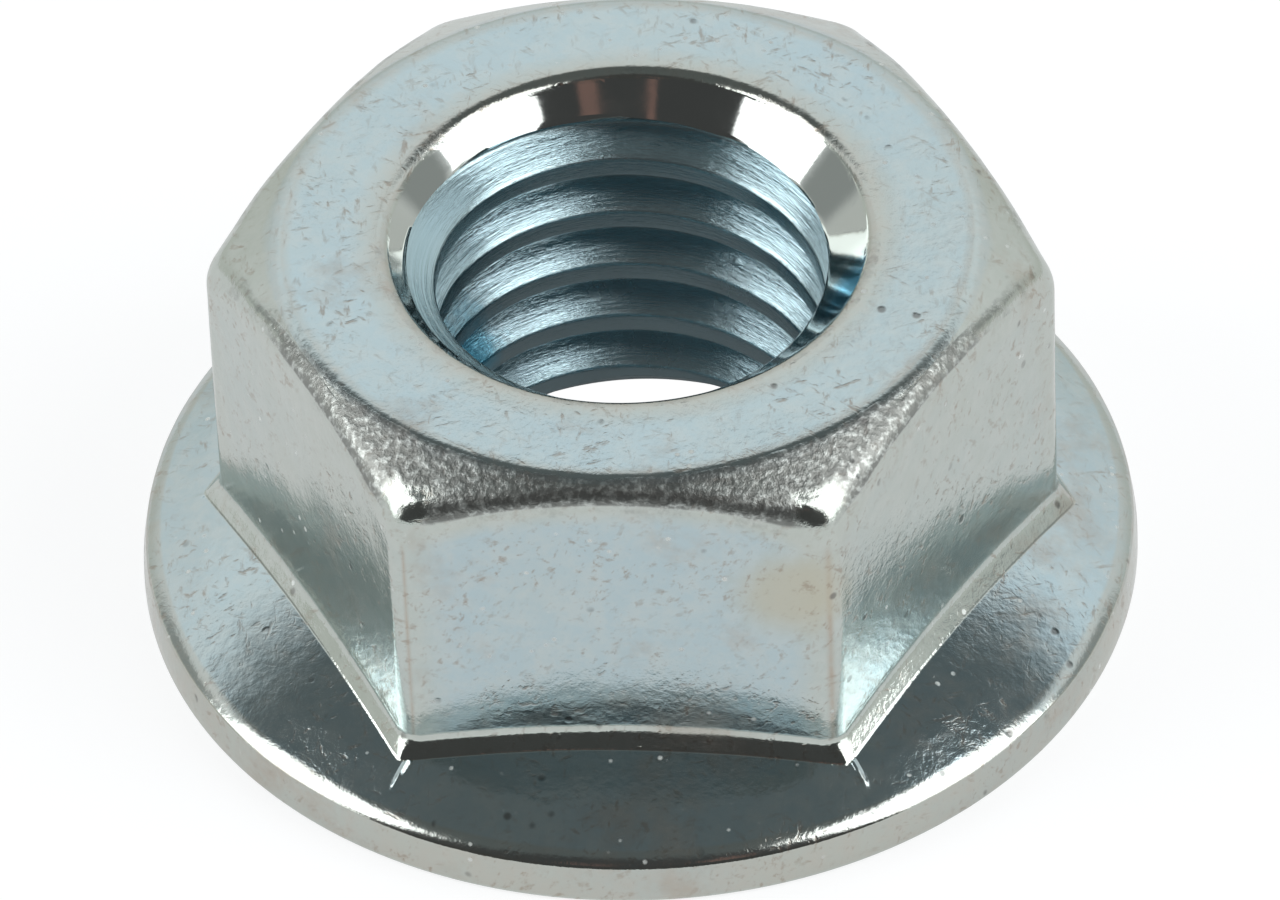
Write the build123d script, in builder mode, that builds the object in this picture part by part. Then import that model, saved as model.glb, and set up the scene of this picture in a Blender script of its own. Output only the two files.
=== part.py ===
"""Serrated hexagon flange nut with an M8 coarse right-hand thread.

Millimetres, +Z up along the thread axis. The origin is the centre of the bearing face,
so the nut stands on its flange. Two hexagon flats face -Y and +Y, two corners point
along X. The nut is forged in one piece and tapped, so it is one solid.
"""
import math
import os

from build123d import *
from build123d.topology import SkipClean

# Hexagon
across_flats = 13.0
nut_height = 7.6
corner_radius = 0.5
chamfer_diameter = 12.3
chamfer_angle = 30.0
top_edge_radius = 0.45

# Flange
flange_diameter = 17.7
rim_height = 0.87
rim_edge_radius = 0.28
flange_slope = 0.35
rim_bevel_width = 0.57
rim_bevel_rise = 0.14
rim_bottom_radius = 0.12

# Root between the hexagon and the flange
root_top = 1.85
root_bottom = 0.95
root_draft = 0.57
root_corner_radius = 0.12

# Thread
thread_diameter = 8.0
pitch = 1.25
thread_angle = 60.0
minor_diameter = 6.78
thread_lead_in = 0.1275
countersink_diameter = 8.8
countersink_edge_radius = 0.12

# Serrations under the flange
tooth_count = 30
tooth_land_share = 0.14
tooth_inner_radius = 5.0
tooth_outer_radius = 8.45
tooth_depth = 0.24

# How far a cutting shape runs on past the face that it cuts
groove_overrun = 0.2
countersink_overrun = 0.4

flange_radius = flange_diameter / 2
minor_radius = minor_diameter / 2
thread_radius = thread_diameter / 2
countersink_radius = countersink_diameter / 2
cone_start_radius = flange_radius - rim_edge_radius
cone_foot_height = rim_height + flange_slope * (cone_start_radius - across_flats / 2)
root_spread = 2 * root_draft * (root_top - root_bottom)


def rounded_hexagon(flats, radius):
    """Hexagon by its width across flats, with rounded corners, in the open sketch."""
    RegularPolygon(radius=flats / 2, side_count=6, major_radius=False)
    fillet(vertices(), radius=radius)


# Hexagon head: a rounded hexagon prism under a 30 degree chamfer cone
with BuildPart() as head:
    with BuildSketch(Plane.XY):
        rounded_hexagon(across_flats, corner_radius)
    extrude(amount=nut_height)
    with BuildSketch(Plane.XZ):
        reach = across_flats
        drop = (reach - chamfer_diameter / 2) * math.tan(math.radians(chamfer_angle))
        with BuildLine():
            Polyline(
                (0, 0),
                (reach, 0),
                (reach, nut_height - drop),
                (chamfer_diameter / 2, nut_height),
                (0, nut_height),
                close=True,
            )
        make_face()
    revolve(axis=Axis.Z, mode=Mode.INTERSECT)
    rim_of_head = head.faces().filter_by(GeomType.CONE).sort_by(Axis.Z)[-1].outer_wire().edges()
    fillet(rim_of_head.filter_by(lambda edge: edge.geom_type != GeomType.LINE), radius=top_edge_radius)

# Tooth gap: one sawtooth valley that deepens outwards. Its steep wall faces anticlockwise,
# so it bites when the nut is turned to loosen it.
tooth_angle = 360 / tooth_count
gap_angle = tooth_angle * (1 - tooth_land_share)
with BuildPart() as tooth_gap:
    for distance in (tooth_inner_radius, tooth_outer_radius):
        half_gap = distance * math.tan(math.radians(gap_angle / 2))
        valley = tooth_depth * distance / tooth_outer_radius
        with BuildSketch(Plane.YZ.offset(distance)):
            with BuildLine():
                Polyline((-half_gap, 0), (half_gap, 0), (-half_gap, valley), close=True)
            make_face()
    loft(ruled=True)

# Thread groove: one turn of a 60 degree trapezoid on a right-hand helix
flank_slope = math.tan(math.radians(thread_angle / 2))
groove_inner_radius = minor_radius - groove_overrun
groove_root_width = pitch / 8
groove_mouth_width = groove_root_width + 2 * flank_slope * (thread_radius - groove_inner_radius)
groove_start = thread_lead_in - pitch
groove_turns = math.ceil((nut_height + pitch - groove_start) / pitch)
with BuildPart() as groove_turn:
    with BuildLine() as groove_path:
        Helix(pitch=pitch, height=pitch, radius=minor_radius, center=(0, 0, groove_start))
    with BuildSketch(Plane.XZ):
        with BuildLine():
            Polyline(
                (groove_inner_radius, groove_start - groove_mouth_width / 2),
                (thread_radius, groove_start - groove_root_width / 2),
                (thread_radius, groove_start + groove_root_width / 2),
                (groove_inner_radius, groove_start + groove_mouth_width / 2),
                close=True,
            )
        make_face()
    sweep(path=groove_path.wires()[0], is_frenet=True)

# Quarter of the tapping bore
with BuildPart() as bore_quarter:
    with BuildSketch(Plane.XY):
        with BuildLine():
            wall = CenterArc((0, 0), minor_radius, 0, 90)
            Polyline(wall @ 0, (0, 0), wall @ 1)
        make_face()
    extrude(amount=nut_height)

with BuildPart() as flange_nut:
    # Flange: a turned disc with a shallow cone on top and a rounded rim
    with BuildSketch(Plane.XZ):
        with BuildLine():
            Polyline(
                (0, 0),
                (flange_radius - rim_bevel_width, 0),
                (flange_radius - rim_bottom_radius, rim_bevel_rise),
                (flange_radius, rim_bevel_rise + rim_bottom_radius),
                (flange_radius, rim_height - flange_slope * rim_edge_radius),
                (across_flats / 2, cone_foot_height),
                (0, cone_foot_height),
                close=True,
            )
        make_face()
        rim_corner = vertices().group_by(Axis.X)[-1].sort_by(Axis.Y)[-1]
        fillet(rim_corner, radius=rim_edge_radius)
    revolve(axis=Axis.Z)

    # Root: a drafted hexagon that spreads the head into the flange
    with BuildSketch(Plane.XY.offset(root_bottom)):
        rounded_hexagon(across_flats + root_spread, root_corner_radius)
    with BuildSketch(Plane.XY.offset(root_top)):
        rounded_hexagon(across_flats, corner_radius)
    loft(ruled=True)
    add(head.part)

    # Countersinks: 90 degree cones at both ends, with a rounded lip at the top
    countersink_depth = countersink_radius - minor_radius + countersink_overrun
    for end_face in (Plane.XY, Plane.XY.offset(nut_height).rotated((180, 0, 0))):
        with BuildSketch(end_face):
            Circle(countersink_radius)
        extrude(amount=countersink_depth, taper=45, mode=Mode.SUBTRACT)
    mouths = flange_nut.edges().filter_by(GeomType.CIRCLE)
    top_mouth = mouths.filter_by(lambda edge: abs(edge.radius - countersink_radius) < 0.01).sort_by(Axis.Z)[-1]
    fillet(top_mouth, radius=countersink_edge_radius)

    # The next cuts keep their own faces, so that the thread's crest stays in quarter turns
    with SkipClean():
        # Bore: four quarter walls, turned away from the seam of the thread groove
        with PolarLocations(0, 4, start_angle=45):
            add(bore_quarter.part, mode=Mode.SUBTRACT)

        # Thread: the groove's turns follow each other, out through both countersinks
        with Locations(*[(0, 0, turn * pitch) for turn in range(groove_turns)]):
            add(groove_turn.part, mode=Mode.SUBTRACT)

        # Serrations: sawtooth valleys that resist loosening
        with PolarLocations(0, tooth_count):
            add(tooth_gap.part, mode=Mode.SUBTRACT)

flange_nut.part.label = "flange_nut"

os.makedirs("parts", exist_ok=True)
export_step(flange_nut.part, "parts/flange_nut.step")
print("flange_nut: solids", len(flange_nut.part.solids()), "volume mm3", round(flange_nut.part.volume, 1))
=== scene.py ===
"""Finish, stage and camera for a zinc-plated serrated flange nut with an M8 thread.

The nut's skin is one closed mesh, laid out ring by ring around the thread axis, and it
stands for the CAD solid inside the same box. Lengths in the shape's functions are in
millimetres, and directions are counted anticlockwise from +X. The mesh, the node trees
and the stage are in metres.
"""
import math

import bpy
import numpy as np
from mathutils import Matrix, Vector, noise


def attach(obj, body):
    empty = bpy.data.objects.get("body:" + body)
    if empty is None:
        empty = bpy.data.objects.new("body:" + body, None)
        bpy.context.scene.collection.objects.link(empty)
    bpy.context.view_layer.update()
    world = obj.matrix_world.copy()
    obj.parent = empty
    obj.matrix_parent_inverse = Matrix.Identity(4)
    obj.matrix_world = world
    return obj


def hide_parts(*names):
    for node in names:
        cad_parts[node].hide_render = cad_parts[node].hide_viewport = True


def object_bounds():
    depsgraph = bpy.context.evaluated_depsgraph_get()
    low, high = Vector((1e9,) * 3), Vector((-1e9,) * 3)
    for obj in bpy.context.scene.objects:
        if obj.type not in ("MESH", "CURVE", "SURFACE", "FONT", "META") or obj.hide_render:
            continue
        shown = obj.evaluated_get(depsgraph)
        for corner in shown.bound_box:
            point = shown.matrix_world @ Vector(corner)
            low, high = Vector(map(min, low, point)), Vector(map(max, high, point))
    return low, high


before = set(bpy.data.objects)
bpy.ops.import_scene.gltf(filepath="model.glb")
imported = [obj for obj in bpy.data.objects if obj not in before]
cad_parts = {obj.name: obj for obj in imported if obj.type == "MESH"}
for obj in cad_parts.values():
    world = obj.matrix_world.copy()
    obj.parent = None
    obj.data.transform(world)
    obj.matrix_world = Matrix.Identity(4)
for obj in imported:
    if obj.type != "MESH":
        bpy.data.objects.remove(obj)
CAD_LOW, CAD_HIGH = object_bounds()

bl_info = {
    "name": "Serrated Flange Nut",
    "version": (1, 0, 0),
    "blender": (4, 5, 0),
    "location": "View3D > Sidebar > Flange Nut",
    "description": "Builds a zinc-plated serrated flange nut on a plain studio stage",
    "category": "Object",
}

MM = 0.001
TURN = 2 * math.pi


def length(name, description, default_mm):
    """A length property whose default is given in millimetres."""
    return bpy.props.FloatProperty(
        name=name, description=description, default=default_mm * MM, min=0.0, precision=5, unit="LENGTH"
    )


def colour(name, description, default):
    """A colour property, linear red, green and blue."""
    return bpy.props.FloatVectorProperty(
        name=name, description=description, default=default, size=3, min=0.0, max=1.0, subtype="COLOR"
    )


def share(name, description, default):
    """A property between nought and one."""
    return bpy.props.FloatProperty(
        name=name, description=description, default=default, min=0.0, max=1.0, subtype="FACTOR"
    )


class NutSizes(bpy.types.PropertyGroup):
    """Sizes of the nut's skin."""

    across_flats: length("Across flats", "Width of the hexagon across its flats", 13.0)
    height: length("Height", "Height of the nut with its flange", CAD_HIGH.z / MM)
    corner_radius: length("Corner radius", "Rounding of the hexagon's upright corners", 0.5)
    chamfer_diameter: length("Chamfer diameter", "Flat circle on top, where the chamfer starts", 12.3)
    top_edge_radius: length("Top edge radius", "Rounding between the chamfer and the flats", 0.45)
    flange_diameter: length("Flange diameter", "Diameter of the flange", 2 * min(-CAD_LOW.y, CAD_HIGH.y) / MM)
    rim_height: length("Rim height", "Height of the flange at its rim", 0.93)
    thread_diameter: length("Thread diameter", "Outer diameter of the thread", 8.0)
    minor_diameter: length("Minor diameter", "Diameter of the bore at the thread's crest", 6.78)
    pitch: length("Pitch", "Height that one turn of the thread climbs", 1.25)
    mouth_diameter: length("Mouth diameter", "Diameter of the countersink where it meets the top", 8.8)
    tooth_count: bpy.props.IntProperty(name="Teeth", description="Teeth under the flange", default=30, min=3)
    tooth_depth: length("Tooth depth", "Depth of a tooth at its outer end", 0.24)


class ZincFinish(bpy.types.PropertyGroup):
    """Colours of the zinc plating."""

    plating: colour("Plating", "Bright zinc with its pale blue passivation", (0.50, 0.61, 0.645))
    bare: colour("Bare zinc", "Zinc where the passivation is thin", (0.55, 0.59, 0.55))
    stain: colour("Stain", "Brown stains in the plating", (0.46, 0.37, 0.29))
    # Partly rubbing and partly painted shade, standing in for the dark reflections on the chamfer's band
    worn_and_shaded: colour("Worn edge", "Dark, rubbed metal along the edges", (0.16, 0.16, 0.155))
    thread_tint: colour("Thread tint", "Blue-grey film inside the thread", (0.38, 0.58, 0.67))
    gloss: share("Roughness", "Roughness of the clean plating", 0.07)


class StageSettings(bpy.types.PropertyGroup):
    """The studio around the nut."""

    floor_colour: colour("Floor", "Colour of the floor", (0.30, 0.31, 0.32))
    floor_glow: share("Floor glow", "Light that the camera sees in the floor", 0.80)
    metal_glow: share("Floor glow in the metal", "Light that the metal sees in the floor", 0.60)
    lamp_glow: bpy.props.FloatProperty(
        name="Lamp brightness", description="Brightness of the soft lamps; 1 is white", default=2.3, min=0.0
    )


# ---------------------------------------------------------------- profile of the nut


def soft_max(first, second, blend):
    """The larger of two values, with the change between them rounded off."""
    return 0.5 * (first + second + np.sqrt((first - second) ** 2 + blend**2))


def soft_min(first, second, blend):
    """The smaller of two values, with the change between them rounded off."""
    return 0.5 * (first + second - np.sqrt((first - second) ** 2 + blend**2))


def from_direction(angles, degrees):
    """How far angles lie from a direction in degrees, up to half a turn either way."""
    return (angles - math.radians(degrees) + math.pi) % TURN - math.pi


def from_corner(angles):
    """How far angles lie from the nearest corner of the hexagon; one corner points along +X."""
    return (angles + math.pi / 6) % (math.pi / 3) - math.pi / 6


def face_direction(number):
    """Direction of a flat of the hexagon, in degrees; the first is at 30 degrees."""
    return 30 + 60 * number


def by_face(angles, values, blend=4.0):
    """One value for each flat of the hexagon, blended over the corners."""
    result = np.zeros_like(angles)
    total = np.zeros_like(angles)
    for number, value in enumerate(values):
        off = np.degrees(np.abs(from_direction(angles, face_direction(number))))
        weight = np.clip((30 + blend - off) / (2 * blend), 0.0, 1.0)
        result += weight * value
        total += weight
    return result / total


def hexagon_radius(angles, inradius, corner_radius):
    """Distance from the axis to the hexagon with its rounded corners."""
    off = from_corner(angles)
    arc_centre = (inradius - corner_radius) / math.cos(math.pi / 6)
    inside = np.maximum(corner_radius**2 - (arc_centre * np.sin(off)) ** 2, 0.0)
    on_arc = arc_centre * np.cos(off) + np.sqrt(inside)
    on_flat = inradius / np.cos(math.pi / 6 - np.abs(off))
    arc_half_angle = np.arctan2(corner_radius / 2, arc_centre + corner_radius * math.cos(math.pi / 6))
    return np.where(np.abs(off) < arc_half_angle, on_arc, on_flat)


class NutShape:
    """The nut's sizes in millimetres, and the radii and heights that follow from them."""

    # Head: the chamfer, its soft start, and the rounding over the flats, which grows by
    # this share of its radius within so many degrees of a corner
    chamfer_angle = 30
    chamfer_start_radius = 0.45
    rounding_growth = 0.9
    rounding_reach = 15

    # Flange: its top falls faster outside the knee than inside, and is as high as the rim
    # this far inside the edge
    rim_inset = 0.28
    inner_slope = 0.325
    outer_slope = 0.42
    knee_radius = 7.85
    knee_blend = 0.10

    # Root: its height and how far it stands out at each flat, the share of it that is
    # hollow, the rounding of its corners and the crease between it and the flange
    root_rises = (0.42, 0.38, 0.42, 0.42, 0.44, 0.44)
    root_spread = (0.22, 0.20, 0.22, 0.22, 0.20, 0.26)
    root_hollow = 0.45
    root_corner_blend = 0.06
    root_crease = 0.03

    # Forging ridges: where they start, and the lengths over which they rise and run out
    ridge_start = 7.4
    ridge_rise = 0.15
    ridge_runout = 0.35
    ridge_half_width = 0.08

    # Rim: a wide shoulder, then a tighter edge, each up to an angle from straight up, a
    # nearly upright side and a small rounding at the bottom
    shoulder_inset = 0.35
    shoulder_radius = 0.9
    shoulder_end = 42
    edge_radius = 0.14
    edge_end = 84
    side_heights = (0.35, 0.12)
    bottom_radius = 0.05
    bottom_height = 0.09

    # Bevel and serrations under the flange; a gap and its steep wall as shares of a tooth
    bevel_inner = 8.28
    bevel_outer = 8.80
    bevel_rise = 0.05
    tooth_inner = 5.0
    tooth_outer = 8.45
    half_gap_share = 0.43
    wall_share = 0.02

    # Bore: the thread's start and flanks, the countersinks and the lip of the mouth
    thread_lead_in = 0.1275
    flank_angle = 30
    thread_blend = 0.05
    cone_angle = 45
    cone_blend = 0.03
    lip_radius = 0.3

    def __init__(self, sizes):
        self.inradius = sizes.across_flats / MM / 2
        self.height = sizes.height / MM
        self.corner_radius = sizes.corner_radius / MM
        self.chamfer_radius = sizes.chamfer_diameter / MM / 2
        self.top_edge_radius = sizes.top_edge_radius / MM
        self.flange_radius = sizes.flange_diameter / MM / 2
        self.rim_height = sizes.rim_height / MM
        self.thread_radius = sizes.thread_diameter / MM / 2
        self.minor_radius = sizes.minor_diameter / MM / 2
        self.pitch = sizes.pitch / MM
        self.mouth_radius = sizes.mouth_diameter / MM / 2
        self.tooth_count = sizes.tooth_count
        self.tooth_depth = sizes.tooth_depth / MM
        self.chamfer_slope = math.tan(math.radians(self.chamfer_angle))
        # Length along the top, and along the chamfer, that its soft start takes
        self.start_length = self.chamfer_start_radius * math.tan(math.radians(self.chamfer_angle / 2))
        self.shoulder = self.flange_radius - self.shoulder_inset

    def chamfer_height(self, radius):
        """Height of the chamfer's cone."""
        return self.height - (radius - self.chamfer_radius) * self.chamfer_slope

    def flange_height(self, radius):
        """Height of the flange's upper face: two cones that meet at a soft knee."""
        cone_end = self.flange_radius - self.rim_inset
        knee = self.rim_height + self.outer_slope * (cone_end - self.knee_radius)
        inner = knee + self.inner_slope * (self.knee_radius - radius)
        outer = knee + self.outer_slope * (self.knee_radius - radius)
        return soft_min(inner, outer, self.knee_blend * (self.outer_slope - self.inner_slope))

    def foot_radius(self, angles):
        """Outline where the hexagon's root meets the flange."""
        nearest = np.full(angles.shape, math.inf)
        second = np.full(angles.shape, math.inf)
        for number, spread in enumerate(self.root_spread):
            lean = np.cos(angles - math.radians(face_direction(number)))
            # A flat that faces away is kept far off, and at a finite distance
            reach = (self.inradius + spread) / np.maximum(lean, 0.3)
            second = np.minimum(second, np.maximum(nearest, reach))
            nearest = np.minimum(nearest, reach)
        return soft_min(nearest, second, self.root_corner_blend)

    def ridge_height(self, angles, radius):
        """Small forging ridges that run out over the flange from the hexagon's corners."""
        height = np.zeros(angles.shape)
        for degrees, reach, tall in RIDGES:
            rise = np.clip((radius - self.ridge_start) / self.ridge_rise, 0.0, 1.0)
            runout = np.clip((reach - radius) / self.ridge_runout, 0.0, 1.0)
            aside = np.abs(from_direction(angles, degrees) * radius)
            height += tall * rise * runout * np.clip(1.0 - aside / self.ridge_half_width, 0.0, 1.0)
        return height

    def cone_radius(self, height):
        """Radius of the upper countersink's cone."""
        lip_length = self.lip_radius * math.tan(math.radians(self.cone_angle / 2))
        return self.mouth_radius - lip_length - (self.height - height)

    def bore_radius(self, angle, height):
        """Radius of the bore with its thread and its two countersinks."""
        phase = height - self.thread_lead_in - self.pitch * angle / TURN
        across = np.abs((phase + self.pitch / 2) % self.pitch - self.pitch / 2)
        flank = self.thread_radius - (across - self.pitch / 16) / math.tan(math.radians(self.flank_angle))
        groove = soft_min(flank, self.thread_radius, self.thread_blend)
        cut = soft_max(self.minor_radius, groove, self.thread_blend)
        cut = soft_max(cut, self.mouth_radius - height, self.cone_blend)
        return soft_max(cut, self.cone_radius(height), self.cone_blend)


# Direction in degrees, outer radius and height of each forging ridge
RIDGES = (
    (241.0, 8.25, 0.05),
    (244.2, 7.9, 0.015),
    (301.3, 8.25, 0.05),
    (298.6, 7.85, 0.015),
    (180.4, 7.95, 0.03),
    (359.6, 7.95, 0.03),
    (60.5, 8.05, 0.03),
    (119.4, 8.0, 0.03),
)

# Direction, width and strength of the brown lines on the hexagon's corners, in degrees
CORNER_STAINS = (
    (240.8, 0.25, 0.7),
    (299.7, 0.5, 0.8),
    (0.4, 0.4, 0.6),
    (60.5, 0.4, 0.6),
    (119.5, 0.4, 0.6),
    (179.6, 0.4, 0.6),
)

# How blue the film is on each flat
FACE_TINTS = (0.2, 0.9, 0.3, 0.15, 1.0, 0.25)


# ---------------------------------------------------------------- the nut's mesh

# What each point carries for the finish: edge rubbing with painted shade, thread's film, root, blue film,
# brown stain, smooth countersink, and the place in the thread's turn as a cosine and a sine
MARK_NAMES = ("edge", "thread", "root", "tint", "stain", "smooth", "turn_x", "turn_y")


class Skin:
    """Points, faces and marks of a closed skin, gathered ring by ring."""

    def __init__(self):
        self.points = []
        self.faces = []
        self.marks = []
        self.count = 0

    def ring(self, angles, radius, height, **marks):
        """Adds a ring of points and returns their numbers."""
        radius = np.broadcast_to(radius, angles.shape)
        height = np.broadcast_to(height, angles.shape)
        self.points.append(np.stack([radius * np.cos(angles), radius * np.sin(angles), height], axis=1))
        self.marks.append(
            np.stack([np.broadcast_to(marks.get(name, 0.0), angles.shape) for name in MARK_NAMES], axis=1)
        )
        numbers = np.arange(self.count, self.count + len(angles))
        self.count += len(angles)
        return numbers

    def band(self, first, second):
        """Joins two rings with the same columns by quads."""
        first_next = np.roll(first, -1)
        second_next = np.roll(second, -1)
        self.faces += np.stack([first, second, second_next, first_next], axis=1).tolist()

    def zip(self, first, first_angles, second, second_angles):
        """Joins two rings with different columns by triangles."""
        i = j = 0
        n, m = len(first), len(second)
        while i < n or j < m:
            next_first = first_angles[i + 1] if i + 1 < n else first_angles[0] + TURN
            next_second = second_angles[j + 1] if j + 1 < m else second_angles[0] + TURN
            a, b = int(first[i % n]), int(second[j % m])
            if j >= m or (i < n and next_first <= next_second):
                self.faces.append([a, b, int(first[(i + 1) % n])])
                i += 1
            else:
                self.faces.append([a, b, int(second[(j + 1) % m])])
                j += 1


def column_angles():
    """Directions of the columns: close at the hexagon's corners, wider along its flats."""
    reach = 2.4
    near = np.linspace(0.0, reach, 13)
    far = reach + (30.0 - reach) * np.linspace(0.0, 1.0, 24)[1:] ** 1.25
    half = np.concatenate([near, far])
    sector = np.concatenate([-half[:0:-1], half])[1:]
    degrees = np.concatenate([corner + sector for corner in range(0, 360, 60)])
    return np.radians(np.sort(degrees % 360))


def arc(centre_r, centre_z, radius, start, end, steps):
    """Points of an arc in the radial half-plane, by angle in degrees from straight up."""
    return [
        (centre_r + radius * math.sin(math.radians(a)), centre_z + radius * math.cos(math.radians(a)))
        for a in np.linspace(start, end, steps)
    ]


def corner_stain(angles):
    """Brown lines along the hexagon's upright corners."""
    stain = np.zeros(angles.shape)
    for degrees, width, strength in CORNER_STAINS:
        off = np.degrees(from_direction(angles, degrees))
        stain += strength * np.exp(-((off / width) ** 2))
    return stain


class Head:
    """The hexagon at each column: its radius, the rounding under the chamfer, and how dark its edge is, from
    rubbing and painted shade.
    """

    def __init__(self, shape, angles):
        self.angles = angles
        self.radius = hexagon_radius(angles, shape.inradius, shape.corner_radius)
        near_corner = np.clip(1.0 - np.degrees(np.abs(from_corner(angles))) / shape.rounding_reach, 0.0, 1.0)
        growth = shape.rounding_growth * near_corner**2 * (3 - 2 * near_corner)
        self.rounding = shape.top_edge_radius * (1.0 + growth)
        # Height of the rounding's centre, where the flat starts
        self.flat_top = shape.chamfer_height(self.radius) - self.rounding * shape.chamfer_slope
        # One on the hexagon's corners, nought on its flats
        self.corner = np.clip((self.radius - 7.1) / 0.25, 0.0, 1.0)
        # The chamfer's dark edge, part rubbing and part painted shade, is strongest at the front, facing the
        # camera
        self.worn_and_shaded = 0.35 + 0.65 * np.clip((-np.sin(angles) - 0.2) / 0.5, 0.0, 1.0)


def top_rings(shape, head):
    """The lip of the mouth, the flat top and the soft start of the chamfer."""
    lip = shape.lip_radius
    rings = [
        (r, z, {"edge": 0.5, "tint": 0.2, "stain": 0.35})
        for r, z in arc(shape.mouth_radius, shape.height - lip, lip, -36, 0, 5)
    ]
    flat_end = shape.chamfer_radius - shape.start_length
    for r in np.linspace(shape.mouth_radius, flat_end, 11)[1:-1]:
        near_mouth = max(0.0, 1.0 - (r - shape.mouth_radius) / 0.5)
        rings.append((r, shape.height, {"tint": 0.9 - 0.7 * near_mouth, "stain": 0.3 * near_mouth}))
    start = shape.chamfer_start_radius
    for step, (r, z) in enumerate(arc(flat_end, shape.height - start, start, 0, shape.chamfer_angle, 5)):
        marks = {"edge": min(0.85, 0.3 * step) * head.worn_and_shaded, "tint": 0.6, "stain": 0.3 if step == 0 else 0.1}
        rings.append((r, z, marks))
    return rings


def chamfer_rings(shape, head):
    """The chamfer's cone and the rounded edge over the flats, darkened by rubbing and painted shade, less at
    the corners.
    """
    cone_top = shape.chamfer_radius + shape.start_length * math.cos(math.radians(shape.chamfer_angle))
    cone_end = head.radius - head.rounding * math.sin(math.radians(shape.chamfer_angle))
    rings = []
    for t in (0.25, 0.5, 0.75):
        r = cone_top + (cone_end - cone_top) * t
        rings.append((r, shape.chamfer_height(r), {"edge": 0.85 * head.worn_and_shaded}))
    steps = 10
    leans = np.linspace(shape.chamfer_angle, 90, steps)
    for lean, (r, z) in zip(leans, arc(0.0, 0.0, 1.0, shape.chamfer_angle, 90, steps)):
        # Painted shade with the rubbing: full on the cone and the upper rounding, halved at the corners so
        # that the lamps' reflection shows there
        wear_and_shade = (1.0 if lean < 75 else 0.5) * (0.3 + 0.7 * head.worn_and_shaded)
        radius = head.radius - head.rounding * (1.0 - r)
        rings.append((radius, head.flat_top + head.rounding * z, {"edge": wear_and_shade * (1.0 - 0.5 * head.corner)}))
    return rings


def flat_and_root_rings(shape, head):
    """The flats, then the root: a hollow that turns outwards and a straight bevel."""
    tint = by_face(head.angles, FACE_TINTS) * (1 - 0.8 * head.corner)
    brown = corner_stain(head.angles)
    foot_radius = shape.foot_radius(head.angles)
    foot = shape.flange_height(foot_radius)
    root_top = foot + by_face(head.angles, shape.root_rises)
    rings = []
    for t in np.linspace(0.0, 1.0, 15)[1:]:
        z = head.flat_top + (root_top - head.flat_top) * t
        rings.append((head.radius, z, {"edge": 0.3 * (1 - t) ** 6, "tint": tint, "stain": brown}))

    hollow = shape.root_hollow
    turned = hollow / (2 - hollow)
    for t in np.linspace(0.0, 1.0, 13)[1:]:
        if t < hollow:
            out = turned * (t / hollow) ** 2
        else:
            out = turned + (t - hollow) * (1 - turned) / (1 - hollow)
        radius = head.radius + (foot_radius - head.radius) * out
        rings.append((radius, root_top + (foot - root_top) * t, {"root": min(1.0, 2 * t)}))
    return rings


def flange_rings(shape, angles):
    """The flange's upper face, from the crease at the root to the rim's shoulder."""
    start = shape.foot_radius(angles) + shape.root_crease
    rings = []
    for t in np.linspace(0.0, 1.0, 21):
        r = start + (shape.shoulder - start) * t
        rings.append((r, shape.flange_height(r) + shape.ridge_height(angles, r), {"tint": 0.9}))
    return rings


def rim_rings(shape):
    """The rim: a wide, soft shoulder, a tighter edge, the side and the edge of the bevel."""
    fall = math.atan(shape.outer_slope)
    centre_r = shape.shoulder - shape.shoulder_radius * math.sin(fall)
    centre_z = float(shape.flange_height(shape.shoulder)) - shape.shoulder_radius * math.cos(fall)
    turn = (math.degrees(fall), shape.shoulder_end)
    rings = [
        (r, z, {"tint": 0.4, "stain": 0.2})
        for r, z in arc(centre_r, centre_z, shape.shoulder_radius, *turn, 6)[1:]
    ]
    # The tighter edge carries on smoothly from the shoulder's end
    outward = shape.shoulder_radius - shape.edge_radius
    centre_r += outward * math.sin(math.radians(shape.shoulder_end))
    centre_z += outward * math.cos(math.radians(shape.shoulder_end))
    turn = (shape.shoulder_end, shape.edge_end)
    side = {"tint": 0.15, "stain": 0.35}
    rings += [(r, z, side) for r, z in arc(centre_r, centre_z, shape.edge_radius, *turn, 5)[1:]]
    rings += [(shape.flange_radius, z, side) for z in shape.side_heights]
    small = shape.bottom_radius
    rings += [(r, z, {}) for r, z in arc(shape.flange_radius - small, shape.bottom_height, small, 90, 150, 3)]
    rings.append((shape.bevel_outer, shape.bevel_rise, {}))
    return rings


def add_outer_skin(skin, shape, angles):
    """Lays the head and the flange, and returns their first and last rings."""
    head = Head(shape, angles)
    rings = top_rings(shape, head) + chamfer_rings(shape, head) + flat_and_root_rings(shape, head)
    rings += flange_rings(shape, angles) + rim_rings(shape)
    laid = [skin.ring(angles, radius, height, **marks) for radius, height, marks in rings]
    for upper, lower in zip(laid, laid[1:]):
        skin.band(upper, lower)
    return laid[0], laid[-1]


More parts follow.
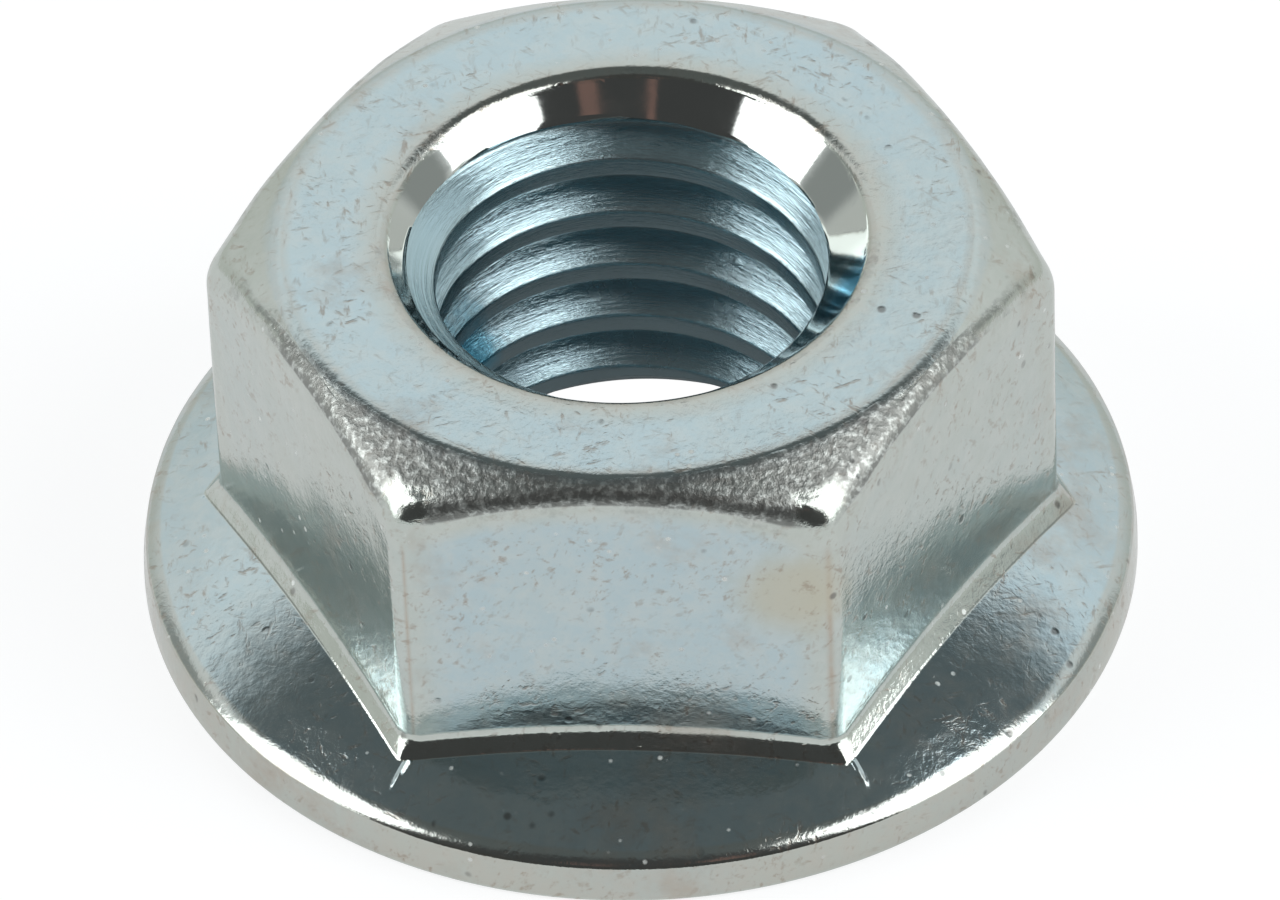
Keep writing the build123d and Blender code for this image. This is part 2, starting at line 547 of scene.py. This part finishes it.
def add_underside(skin, shape, rim, rim_angles):
    """Lays the sawtooth serrations and the flat ring inside them, and returns the inner ring."""
    tooth = TURN / shape.tooth_count
    half_gap = shape.half_gap_share * tooth
    wall = shape.wall_share * tooth
    # Each gap is deepest at its steep wall and runs out in four steps
    along = np.linspace(0.0, 1.0, 5)
    stops = np.concatenate([[-half_gap - wall], half_gap * (2 * along - 1)])
    depths = np.concatenate([[0.0], 1.0 - along])
    angles = np.concatenate([stops + tooth * k for k in range(shape.tooth_count)]) % TURN
    order = np.argsort(angles)
    angles = angles[order]
    depths = np.tile(depths, shape.tooth_count)[order]

    bevel_slope = shape.bevel_rise / (shape.bevel_outer - shape.bevel_inner)
    end_wall = 0.012
    outer_end = (shape.tooth_outer + end_wall, shape.tooth_outer - end_wall)
    inner_end = (shape.tooth_inner + end_wall, shape.tooth_inner - end_wall)
    last = None
    for r in (8.6, *outer_end, shape.bevel_inner, 7.6, 6.9, 6.2, 5.6, *inner_end, 4.7):
        height = max(0.0, (r - shape.bevel_inner) * bevel_slope)
        if shape.tooth_inner < r < shape.tooth_outer:
            height = np.maximum(height, shape.tooth_depth * r / shape.tooth_outer * depths)
        ring = skin.ring(angles, r, height)
        if last is None:
            skin.zip(rim, rim_angles, ring, angles)
        else:
            skin.band(last, ring)
        last = ring
    return last, angles


def thread_steps():
    """Heights of the points in one pitch, as shares of it, close together where the profile bends."""
    half = [0.0, 0.035, 0.065, 0.09, 0.125, 0.165, 0.205, 0.245, 0.28, 0.31, 0.33, 0.35, 0.375, 0.41, 0.455]
    return np.concatenate([half, [0.5], 1.0 - np.array(half[:0:-1])])


def bore_column(skin, shape, angle, low_z, high_z):
    """Lays one upright column of the bore, and returns its points by their step along the helix."""
    steps = thread_steps()
    least_gap = 0.012
    turns_at_most = 9
    start = shape.thread_lead_in + shape.pitch * angle / TURN
    first_turn = math.floor((low_z - start) / shape.pitch)
    numbers, heights = [], []
    for k in range(first_turn * len(steps), (first_turn + turns_at_most) * len(steps)):
        z = start + shape.pitch * (k // len(steps) + steps[k % len(steps)])
        if low_z + least_gap < z < high_z - least_gap:
            numbers.append(k)
            heights.append(z)

    heights = np.array(heights)
    radius = shape.bore_radius(angle, heights)
    depth = np.clip((radius - shape.minor_radius) / (shape.thread_radius - shape.minor_radius), 0.0, 1.0)
    # The film thins out towards the thread's root, and the countersink has none
    film_depth = 0.6
    film = np.clip(shape.thread_radius - radius, 0.0, film_depth) / film_depth
    cone = np.clip(1.5 - np.abs(radius - shape.cone_radius(heights)) / shape.cone_blend, 0.0, 1.0)
    turn = TURN * (heights - start) / shape.pitch
    points = skin.ring(
        np.full(len(heights), angle),
        radius,
        heights,
        thread=(0.6 + 0.4 * depth * film) * (1 - cone),
        smooth=cone,
        turn_x=np.cos(turn),
        turn_y=np.sin(turn),
    )
    return dict(zip(numbers, points.tolist()))


def add_bore(skin, shape, angles, low_ring, high_ring, low_z, high_z):
    """Lays the bore along the helix of its thread, between a ring at each end."""
    columns = [bore_column(skin, shape, angle, low_z, high_z) for angle in angles]
    for j, here in enumerate(columns):
        following = (j + 1) % len(columns)
        beyond = columns[following]
        # Past the last column the helix has climbed by one turn's steps
        shift = 0 if following else len(thread_steps())
        first, last = min(here), max(here)
        next_first, next_last = min(beyond) - shift, max(beyond) - shift
        low, low_next = int(low_ring[j]), int(low_ring[following])
        high, high_next = int(high_ring[j]), int(high_ring[following])

        # Triangles up to the first point here, past those that the next column has below it
        entering = [low_next] + [beyond[k + shift] for k in range(next_first, first + 1)]
        for a, b in zip(entering, entering[1:]):
            skin.faces.append([low, b, a])
        skin.faces.append([low, here[first], beyond[first + shift]])
        for k in range(first, next_last):
            skin.faces.append([here[k], here[k + 1], beyond[k + 1 + shift], beyond[k + shift]])
        # Triangles past the points here that lie above the next column's last
        leaving = [here[k] for k in range(next_last, last + 1)] + [high]
        for a, b in zip(leaving, leaving[1:]):
            skin.faces.append([high_next, a, b])
        skin.faces.append([here[next_last], high_next, beyond[next_last + shift]])


def ripple(points, shape):
    """Presses the slight unevenness of the forging into the outer skin."""
    wide, narrow, narrow_share = 0.55, 2.1, 0.35
    press_depth = 0.012
    rough = np.array(
        [noise.noise(Vector(p * wide)) + narrow_share * noise.noise(Vector(p * narrow)) for p in points]
    )
    radius = np.hypot(points[:, 0], points[:, 1])
    # Nothing is pressed inside the mouth or near the bearing face
    outside = np.clip((radius - shape.mouth_radius - 0.05) / 0.4, 0.0, 1.0)
    above = np.clip((points[:, 2] - 0.25) / 0.2, 0.0, 1.0)
    press = press_depth * (np.clip(rough, -1.0, 1.0) - 1.0) * outside * above
    scale = 1.0 + press / np.maximum(radius, 1.0)
    return points * np.stack([scale, scale, 1.0 + 0.5 * press / shape.height], axis=1)


def build_skin(shape):
    """Returns the skin of the whole nut."""
    skin = Skin()
    angles = column_angles()
    top_lip, rim = add_outer_skin(skin, shape, angles)
    inner, inner_angles = add_underside(skin, shape, rim, angles)

    # Lower mouth, with a small widening at the bearing face
    bore_angles = np.linspace(0.0, TURN, 264, endpoint=False)
    widening = 0.02
    low_z = 0.03
    low_lip = skin.ring(bore_angles, shape.mouth_radius + widening, 0.0)
    skin.zip(inner, inner_angles, low_lip, bore_angles)
    low_ring = skin.ring(bore_angles, shape.mouth_radius - low_z, low_z)
    skin.band(low_lip, low_ring)

    # Upper mouth, where the lip turns into the countersink's cone
    slant = math.radians(shape.cone_angle)
    high_z = shape.height - shape.lip_radius * (1 - math.cos(slant))
    high_ring = skin.ring(bore_angles, shape.mouth_radius - shape.lip_radius * math.sin(slant), high_z)
    skin.zip(high_ring, bore_angles, top_lip, angles)
    add_bore(skin, shape, bore_angles, low_ring, high_ring, low_z, high_z)
    return skin


def mesh_from_skin(skin, name, shape):
    """Writes a skin into a mesh in metres, with one attribute for each mark."""
    points = ripple(np.concatenate(skin.points), shape) * MM
    mesh = bpy.data.meshes.new(name)
    mesh.from_pydata(points.tolist(), [], skin.faces)
    marks = np.concatenate(skin.marks)
    for number, mark in enumerate(MARK_NAMES):
        attribute = mesh.attributes.new(mark, "FLOAT", "POINT")
        attribute.data.foreach_set("value", marks[:, number].astype(np.float32))
    mesh.polygons.foreach_set("use_smooth", [True] * len(mesh.polygons))
    mesh.set_sharp_from_angle(angle=math.radians(50))
    mesh.validate()
    mesh.update()
    return mesh


# ---------------------------------------------------------------- node trees


class Nodes:
    """Adds and links the nodes of one node tree."""

    def __init__(self, tree):
        self.tree = tree
        tree.nodes.clear()

    def add(self, kind, inputs=None, **settings):
        """Adds a node, sets its settings, and sets or links its inputs."""
        node = self.tree.nodes.new(kind)
        for key, value in settings.items():
            setattr(node, key, value)
        for key, value in (inputs or {}).items():
            if isinstance(value, bpy.types.NodeSocket):
                self.tree.links.new(value, node.inputs[key])
            else:
                node.inputs[key].default_value = value
        return node

    def math(self, operation, first, second=0.0, clamp=False):
        """A math node's value."""
        inputs = {0: first, 1: second}
        return self.add("ShaderNodeMath", inputs, operation=operation, use_clamp=clamp).outputs[0]

    def vector(self, operation, first, second, output="Vector"):
        """A vector math node's vector or value."""
        inputs = {0: first, 1: second}
        return self.add("ShaderNodeVectorMath", inputs, operation=operation).outputs[output]

    def total(self, start, *parts):
        """Adds up values, each times its weight, from a starting value on."""
        for value, weight in parts:
            start = self.math("ADD", start, self.math("MULTIPLY", value, weight))
        return start

    def spread(self, value, low, high, to_low=0.0, to_high=1.0):
        """Maps a value smoothly from one range to another."""
        node = self.add(
            "ShaderNodeMapRange",
            {"Value": value, "From Min": low, "From Max": high, "To Min": to_low, "To Max": to_high},
            interpolation_type="SMOOTHSTEP",
        )
        return node.outputs[0]

    def within(self, value, low, high, soft):
        """One where a value lies between two limits, with soft ends."""
        above_low = self.spread(value, low - soft, low + soft)
        below_high = self.spread(value, high + soft, high - soft)
        return self.math("MULTIPLY", above_low, below_high)

    def mix(self, factor, first, second):
        """Mixes two colours."""
        node = self.add("ShaderNodeMix", data_type="RGBA")
        for socket, value in ((node.inputs[0], factor), (node.inputs[6], first), (node.inputs[7], second)):
            if isinstance(value, bpy.types.NodeSocket):
                self.tree.links.new(value, socket)
            elif isinstance(value, (int, float)):
                socket.default_value = value
            else:
                socket.default_value = (*value, 1.0)
        return node.outputs[2]

    def noise(self, place, scale, detail=2.0, rough=0.5):
        """Noise of so many features per metre."""
        inputs = {"Vector": place, "Scale": scale, "Detail": detail, "Roughness": rough}
        return self.add("ShaderNodeTexNoise", inputs).outputs[0]

    def stretched(self, place, stretch, turn):
        """A place turned and then stretched, so that what is drawn by it is long and lies aslant."""
        inputs = {"Vector": place, "Rotation": turn, "Scale": [1 / factor for factor in stretch]}
        return self.add("ShaderNodeMapping", inputs, vector_type="TEXTURE").outputs[0]

    def specks(self, place, scale, size, crowd_scale, crowd):
        """Small round specks of a size in shares of their spacing, crowded in some places."""
        inputs = {"Vector": place, "Scale": scale, "Randomness": 1.0}
        away = self.add("ShaderNodeTexVoronoi", inputs).outputs["Distance"]
        crowded = self.spread(self.noise(place, crowd_scale, 2, 0.5), *crowd)
        return self.math("MULTIPLY", self.spread(away, *size), crowded)

    def spot(self, place, centre, radius, unevenness, strength):
        """A ragged patch around a point, strong at its centre."""
        away = self.vector("DISTANCE", place, centre, "Value")
        ragged = self.math("MULTIPLY", away, self.math("ADD", 0.55, unevenness))
        return self.spread(ragged, radius, radius * 0.3, 0.0, strength)

    def mark(self, name):
        """Reads one of the mesh's marks."""
        return self.add("ShaderNodeAttribute", attribute_name=name).outputs["Fac"]


# ---------------------------------------------------------------- zinc plating

# Colours of single marks in the plating
PALE_GRAIN = (0.64, 0.67, 0.64)
BEIGE = (0.56, 0.53, 0.42)
BROWN_FLECK = (0.34, 0.27, 0.21)
DARK_PIT = (0.16, 0.15, 0.14)
DUST = (0.80, 0.83, 0.81)
BRIGHT_GRIT = (0.60, 0.63, 0.61)
SMOOTH_CONE = (0.57, 0.60, 0.58)
DEEP_BLUE = (0.22, 0.66, 0.88)

# Turn about the axis and shift of each layer of flecks, so that no two lie alike
FLECK_LAYERS = ((0.5, 0.0), (1.7, 0.011), (2.6, 0.023))

# Centre, radius and strength of the patches in the film, in metres: one on the front flat
# and two in the bore
BEIGE_PATCH = ((0.00305, -0.0065, 0.0052), 0.0014, 0.75)
BLUE_PATCHES = (((-0.0033, 0.0017, 0.0030), 0.0014, 0.95), ((0.0041, -0.0012, 0.0073), 0.0011, 0.9))


def passivated_tone(n, finish, place, tint, fine):
    """Tone of the clean film: bluer on some faces than on others, cloudy, with a pale grain."""
    cloud = n.noise(place, 210, 4, 0.6)
    film = n.math("ADD", tint, n.math("MULTIPLY", n.math("SUBTRACT", cloud, 0.5), 1.3), clamp=True)
    tone = n.mix(film, tuple(finish.bare), tuple(finish.plating))
    return n.mix(n.spread(fine, 0.35, 0.7, 0.0, 0.4), tone, PALE_GRAIN)


def stained(n, finish, place, tone, stain, patch, fine):
    """A tone with brown patches, brown lines where the mesh is marked, and one beige patch."""
    tone = n.mix(n.math("MULTIPLY", patch, 0.40), tone, tuple(finish.stain))
    shares = n.math("ADD", 0.35, n.math("MULTIPLY", n.math("SUBTRACT", fine, 0.3), 1.6))
    tone = n.mix(n.math("MULTIPLY", stain, shares, clamp=True), tone, tuple(finish.stain))
    centre, radius, strength = BEIGE_PATCH
    return n.mix(n.spot(place, centre, radius, fine, strength), tone, BEIGE)


def short_flecks(n, place, outside):
    """Where short flecks lie on the outside, in three directions."""
    flecks = None
    for turn, shift in FLECK_LAYERS:
        shifted = n.vector("ADD", place, (shift, shift, shift))
        aslant = n.stretched(shifted, (0.45, 1.6, 1.0), (0.4, 0.3, turn))
        layer = n.spread(n.noise(aslant, 4200, 3, 0.6), 0.58, 0.74)
        flecks = layer if flecks is None else n.math("MAXIMUM", flecks, layer)
    crowd = n.spread(n.noise(place, 600, 3, 0.6), 0.36, 0.62, 0.25, 1.0)
    return n.math("MULTIPLY", n.math("MULTIPLY", flecks, crowd), outside)


def blue_film(n, place, fine, inside):
    """Where the film in the bore is deep blue."""
    first, second = (n.spot(place, centre, radius, fine, strong) for centre, radius, strong in BLUE_PATCHES)
    return n.math("MULTIPLY", n.math("MAXIMUM", first, second), inside)


def drawn_lines(n, place, thread):
    """Fine lines that the tap drew around the thread, at the same place in each turn."""
    across = n.add("ShaderNodeSeparateXYZ", {0: place}).outputs["X"]
    along = {0: n.mark("turn_x"), 1: n.mark("turn_y"), 2: n.math("MULTIPLY", across, 350.0)}
    lines = n.noise(n.add("ShaderNodeCombineXYZ", along).outputs[0], 3.6, 4, 0.75)
    return n.math("MULTIPLY", thread, n.math("SUBTRACT", lines, 0.5))


def zinc_material(finish):
    """Blue-passivated zinc with stains, flecks, pits, dust, and edges darkened by rubbing and painted shade.
    """
    material = bpy.data.materials.new("zinc_plate")
    material.use_nodes = True
    n = Nodes(material.node_tree)
    place = n.add("ShaderNodeTexCoord").outputs["Object"]
    thread, smooth = n.mark("thread"), n.mark("smooth")
    outside = n.math("SUBTRACT", 1.0, n.math("ADD", n.math("MULTIPLY", thread, 2.0), smooth), clamp=True)
    inside = n.math("SUBTRACT", 1.0, outside)
    fine = n.noise(place, 2400, 6, 0.65)
    grit = n.noise(place, 7500, 3, 0.6)

    patch = n.spread(n.noise(place, 420, 5, 0.66), 0.52, 0.72)
    tone = passivated_tone(n, finish, place, n.mark("tint"), fine)
    tone = stained(n, finish, place, tone, n.mark("stain"), patch, fine)
    flecks = short_flecks(n, place, outside)
    tone = n.mix(n.math("MULTIPLY", flecks, 0.60), tone, BROWN_FLECK)
    pits = n.specks(place, 1900.0, (0.20, 0.08), 1100, (0.54, 0.64))
    tone = n.mix(n.math("MULTIPLY", n.math("MULTIPLY", pits, outside), 0.7), tone, DARK_PIT)
    dust = n.math("MULTIPLY", n.specks(place, 2600.0, (0.17, 0.07), 1400, (0.52, 0.60)), outside)
    tone = n.mix(dust, tone, DUST)

    # Rubbed, mottled metal along the edges, with bright grit in it; the dark colour is partly painted shade
    uneven = n.math("MULTIPLY", n.math("SUBTRACT", n.noise(place, 1300, 5, 0.7), 0.5), 0.9)
    rub_and_shade = n.spread(n.math("ADD", n.mark("edge"), uneven), 0.45, 0.85)
    rubbed_and_shaded = n.mix(n.spread(grit, 0.45, 0.7), tuple(finish.worn_and_shaded), BRIGHT_GRIT)
    tone = n.mix(n.math("MULTIPLY", rub_and_shade, 0.75), tone, rubbed_and_shaded)

    # Blue-grey film in the thread, and a bare, smooth countersink
    tone = n.mix(thread, tone, tuple(finish.thread_tint))
    tone = n.mix(smooth, tone, SMOOTH_CONE)
    tone = n.mix(blue_film(n, place, fine, inside), tone, DEEP_BLUE)

    roughness = n.total(
        finish.gloss,
        (fine, 0.10),
        (thread, 0.13),
        (rub_and_shade, 0.24),
        (n.math("MAXIMUM", flecks, patch), 0.10),
        (dust, 0.5),
        (n.mark("root"), -0.03),
        (smooth, -0.06),
    )

    rough_patch = n.spread(n.noise(place, 500, 3, 0.6), 0.42, 0.62, 0.15, 0.8)
    grit_share = n.math("MAXIMUM", n.math("MULTIPLY", rub_and_shade, 2.3), n.math("MULTIPLY", rough_patch, outside))
    grain = n.math("MULTIPLY", n.noise(place, 4200, 4, 0.6), 0.6)
    drawn = drawn_lines(n, place, thread)
    relief = n.total(grain, (drawn, 4.5), (grit, grit_share), (pits, -0.6), (flecks, -0.25))
    relief = n.math("MULTIPLY", relief, n.math("SUBTRACT", 1.0, n.math("MULTIPLY", smooth, 0.85)))
    bump = n.add("ShaderNodeBump", {"Strength": 0.25, "Distance": 0.00003, "Height": relief})
    shader = n.add(
        "ShaderNodeBsdfPrincipled",
        {"Base Color": tone, "Metallic": 1.0, "Roughness": roughness, "Normal": bump.outputs[0]},
    )
    n.add("ShaderNodeOutputMaterial", {"Surface": shader.outputs[0]})
    return material


# ---------------------------------------------------------------- stage

# Colours of the studio, seen in the metal; 1 is white
LOW_WALL = (0.66, 0.68, 0.65)
WALL = (0.82, 0.84, 0.84)
SIDE_PANEL = (0.36, 0.38, 0.37)
HIGH_WALL = (0.92, 0.97, 0.99)
FRONT_WALL = (0.92, 0.96, 0.96)
OVERHEAD_RIG = (0.13, 0.145, 0.145)
FRONT_RIG = (0.068, 0.069, 0.069)
LOW_LAMPS = (1.8, 1.85, 1.85)
BROWN_UPRIGHT = (0.24, 0.15, 0.13)

# Azimuth from the front and elevation in degrees, and width and height in metres, of each lamp
LAMPS = {
    "lamp_left": (-79, 36, 0.18, 0.22),
    "lamp_right": (75, 40, 0.21, 0.26),
}


def floor_material(floor_colour, camera_glow, metal_glow):
    """Pale floor that keeps the nut's shadow and is white to the camera and in the metal."""
    material = bpy.data.materials.new("pale_floor")
    material.use_nodes = True
    n = Nodes(material.node_tree)
    path = n.add("ShaderNodeLightPath").outputs
    place = n.add("ShaderNodeTexCoord").outputs["Object"]
    away = n.add("ShaderNodeVectorMath", {0: place}, operation="LENGTH").outputs["Value"]
    # Painted shadow: near the nut, the floor's glow that the metal sees is dimmed
    painted_floor_shadow = n.spread(away, 0.004, 0.0088, 0.2 * metal_glow, metal_glow)
    in_metal = n.math("MAXIMUM", path["Is Glossy Ray"], path["Is Transmission Ray"])
    in_metal = n.math("MULTIPLY", in_metal, painted_floor_shadow)
    # Under the bore, where little light falls, the floor glows more
    under_bore = n.spread(away, 0.0045, 0.007, 1.0, camera_glow)
    to_camera = n.math("MULTIPLY", path["Is Camera Ray"], under_bore)
    surface = n.add("ShaderNodeBsdfDiffuse", {"Color": (*floor_colour, 1.0)})
    glow = {"Color": (1, 1, 1, 1), "Strength": n.math("MAXIMUM", to_camera, in_metal)}
    lift = n.add("ShaderNodeEmission", glow)
    both = n.add("ShaderNodeAddShader", {0: surface.outputs[0], 1: lift.outputs[0]})
    n.add("ShaderNodeOutputMaterial", {"Surface": both.outputs[0]})
    return material


def lay_floor(settings):
    """A square floor that reaches far past the nut."""
    half = 0.6
    corners = [(-half, -half, 0), (half, -half, 0), (half, half, 0), (-half, half, 0)]
    mesh = bpy.data.meshes.new("floor")
    mesh.from_pydata(corners, [], [(0, 1, 2, 3)])
    material = floor_material(tuple(settings.floor_colour), settings.floor_glow, settings.metal_glow)
    mesh.materials.append(material)
    floor = bpy.data.objects.new("floor", mesh)
    bpy.context.scene.collection.objects.link(floor)


def studio_world():
    """Pale studio walls, with a dark rig overhead and in front and a grey panel at each side."""
    world = bpy.data.worlds.new("studio")
    world.use_nodes = True
    bpy.context.scene.world = world
    n = Nodes(world.node_tree)
    way = n.add("ShaderNodeTexCoord").outputs["Generated"]
    along = n.add("ShaderNodeSeparateXYZ", {0: way}).outputs
    up = along["Z"]
    forward = n.math("MULTIPLY", along["Y"], -1.0)

    walls = n.mix(n.spread(up, 0.10, 0.50), LOW_WALL, WALL)
    panel = n.math("MULTIPLY", n.within(along["Y"], 0.12, 0.50, 0.06), n.within(up, 0.18, 0.50, 0.05))
    walls = n.mix(panel, walls, SIDE_PANEL)
    walls = n.mix(n.spread(up, 0.55, 0.68), walls, HIGH_WALL)
    walls = n.mix(n.spread(forward, 0.3, 0.7), walls, FRONT_WALL)

    # The overhead rig leans to the front, and the front rig leaves the horizon pale
    tilt = math.radians(15)
    overhead = n.vector("DOT_PRODUCT", way, (0.0, -math.sin(tilt), math.cos(tilt)), "Value")
    sky = n.mix(n.spread(overhead, 0.50, 0.66), walls, OVERHEAD_RIG)
    ahead = n.spread(forward, 0.32, 0.46)
    raised = n.spread(up, math.sin(math.radians(2.5)), math.sin(math.radians(6)))
    sky = n.mix(n.math("MULTIPLY", ahead, raised), sky, FRONT_RIG)
    low_lamps = n.math("MULTIPLY", n.within(forward, 0.10, 0.52, 0.05), n.within(up, 0.06, 0.34, 0.04))
    sky = n.mix(low_lamps, sky, LOW_LAMPS)

    # Two brown uprights of the rig in front
    sideways = n.math("DIVIDE", along["X"], n.math("MAXIMUM", forward, 0.05))
    upright = n.math("MAXIMUM", n.within(sideways, 0.30, 0.50, 0.04), n.within(sideways, -0.25, -0.17, 0.03))
    upright = n.math("MULTIPLY", upright, n.within(up, 0.68, 0.80, 0.03))
    sky = n.mix(upright, sky, BROWN_UPRIGHT)
    background = n.add("ShaderNodeBackground", {"Color": sky, "Strength": 1.0})
    n.add("ShaderNodeOutputWorld", {"Surface": background.outputs[0]})


def direction_to(azimuth, elevation):
    """Unit vector to a place at an azimuth from the front and an elevation, in radians."""
    level = math.cos(elevation)
    return Vector((math.sin(azimuth) * level, -math.cos(azimuth) * level, math.sin(elevation)))


def soft_lamp(name, azimuth, elevation, width, height, brightness):
    """A soft lamp that faces the nut from a direction given in degrees."""
    distance = 0.3
    aim_height = 0.004
    way = direction_to(math.radians(azimuth), math.radians(elevation))
    lamp = bpy.data.lights.new(name, "AREA")
    lamp.shape = "RECTANGLE"
    lamp.size = width
    lamp.size_y = height
    lamp.energy = brightness * math.pi * width * height
    item = bpy.data.objects.new(name, lamp)
    item.location = way * distance + Vector((0.0, 0.0, aim_height))
    item.rotation_mode = "QUATERNION"
    item.rotation_quaternion = way.to_track_quat("Z", "Y")
    bpy.context.scene.collection.objects.link(item)


def place_camera():
    """Long-lens camera, looking down on the nut from the front."""
    azimuth, elevation, roll = (math.radians(degrees) for degrees in (4.143, 43.517, -2.38))
    distance = 220.0
    aim_height, aim_across, aim_down = 4.0, 0.108, 1.15
    towards = direction_to(azimuth, elevation)
    level = Vector((math.cos(azimuth), math.sin(azimuth), 0.0))
    upright = towards.cross(level)
    across = math.cos(roll) * level + math.sin(roll) * upright
    upwards = -math.sin(roll) * level + math.cos(roll) * upright
    target = Vector((0.0, 0.0, aim_height)) + aim_across * across - aim_down * upwards

    data = bpy.data.cameras.new("camera")
    data.sensor_fit = "HORIZONTAL"
    data.sensor_width = 36.0
    data.lens = 351.79
    data.clip_start = 0.01
    data.clip_end = 10.0
    camera = bpy.data.objects.new("camera", data)
    turn = Matrix((across, upwards, towards)).transposed().to_4x4()
    camera.matrix_world = Matrix.Translation((target + distance * towards) * MM) @ turn
    bpy.context.scene.collection.objects.link(camera)
    bpy.context.scene.camera = camera


# ---------------------------------------------------------------- operators and panel


class FLANGENUT_OT_build_nut(bpy.types.Operator):
    """Build the nut with its thread, serrations and zinc plating"""

    bl_idname = "flange_nut.build_nut"
    bl_label = "Build Flange Nut"

    def execute(self, context):
        shape = NutShape(context.scene.flange_nut_sizes)
        mesh = mesh_from_skin(build_skin(shape), "flange_nut_skin", shape)
        mesh.materials.append(zinc_material(context.scene.flange_nut_finish))
        nut = bpy.data.objects.new("flange_nut_skin", mesh)
        context.scene.collection.objects.link(nut)
        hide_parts("flange_nut")
        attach(nut, "root")
        return {"FINISHED"}


class FLANGENUT_OT_set_stage(bpy.types.Operator):
    """Lay the pale floor and set the studio's light and camera"""

    bl_idname = "flange_nut.set_stage"
    bl_label = "Set Stage"

    def execute(self, context):
        settings = context.scene.flange_nut_stage
        lay_floor(settings)
        studio_world()
        for name, place_and_size in LAMPS.items():
            soft_lamp(name, *place_and_size, settings.lamp_glow)
        context.scene.view_settings.view_transform = "Standard"
        place_camera()
        return {"FINISHED"}


class FLANGENUT_PT_panel(bpy.types.Panel):
    """Sidebar panel with the nut's sizes, finish and stage"""

    bl_idname = "FLANGENUT_PT_panel"
    bl_label = "Serrated Flange Nut"
    bl_space_type = "VIEW_3D"
    bl_region_type = "UI"
    bl_category = "Flange Nut"

    def draw(self, context):
        for group, operator in (
            (context.scene.flange_nut_sizes, None),
            (context.scene.flange_nut_finish, FLANGENUT_OT_build_nut.bl_idname),
            (context.scene.flange_nut_stage, FLANGENUT_OT_set_stage.bl_idname),
        ):
            for key in group.__annotations__:
                self.layout.prop(group, key)
            if operator:
                self.layout.operator(operator)


CLASSES = (
    NutSizes,
    ZincFinish,
    StageSettings,
    FLANGENUT_OT_build_nut,
    FLANGENUT_OT_set_stage,
    FLANGENUT_PT_panel,
)


def register():
    for item in CLASSES:
        bpy.utils.register_class(item)
    bpy.types.Scene.flange_nut_sizes = bpy.props.PointerProperty(type=NutSizes)
    bpy.types.Scene.flange_nut_finish = bpy.props.PointerProperty(type=ZincFinish)
    bpy.types.Scene.flange_nut_stage = bpy.props.PointerProperty(type=StageSettings)


def unregister():
    del bpy.types.Scene.flange_nut_stage
    del bpy.types.Scene.flange_nut_finish
    del bpy.types.Scene.flange_nut_sizes
    for item in reversed(CLASSES):
        bpy.utils.unregister_class(item)


def main():
    register()
    bpy.ops.flange_nut.set_stage()
    bpy.ops.flange_nut.build_nut()


if __name__ == "__main__":
    main()
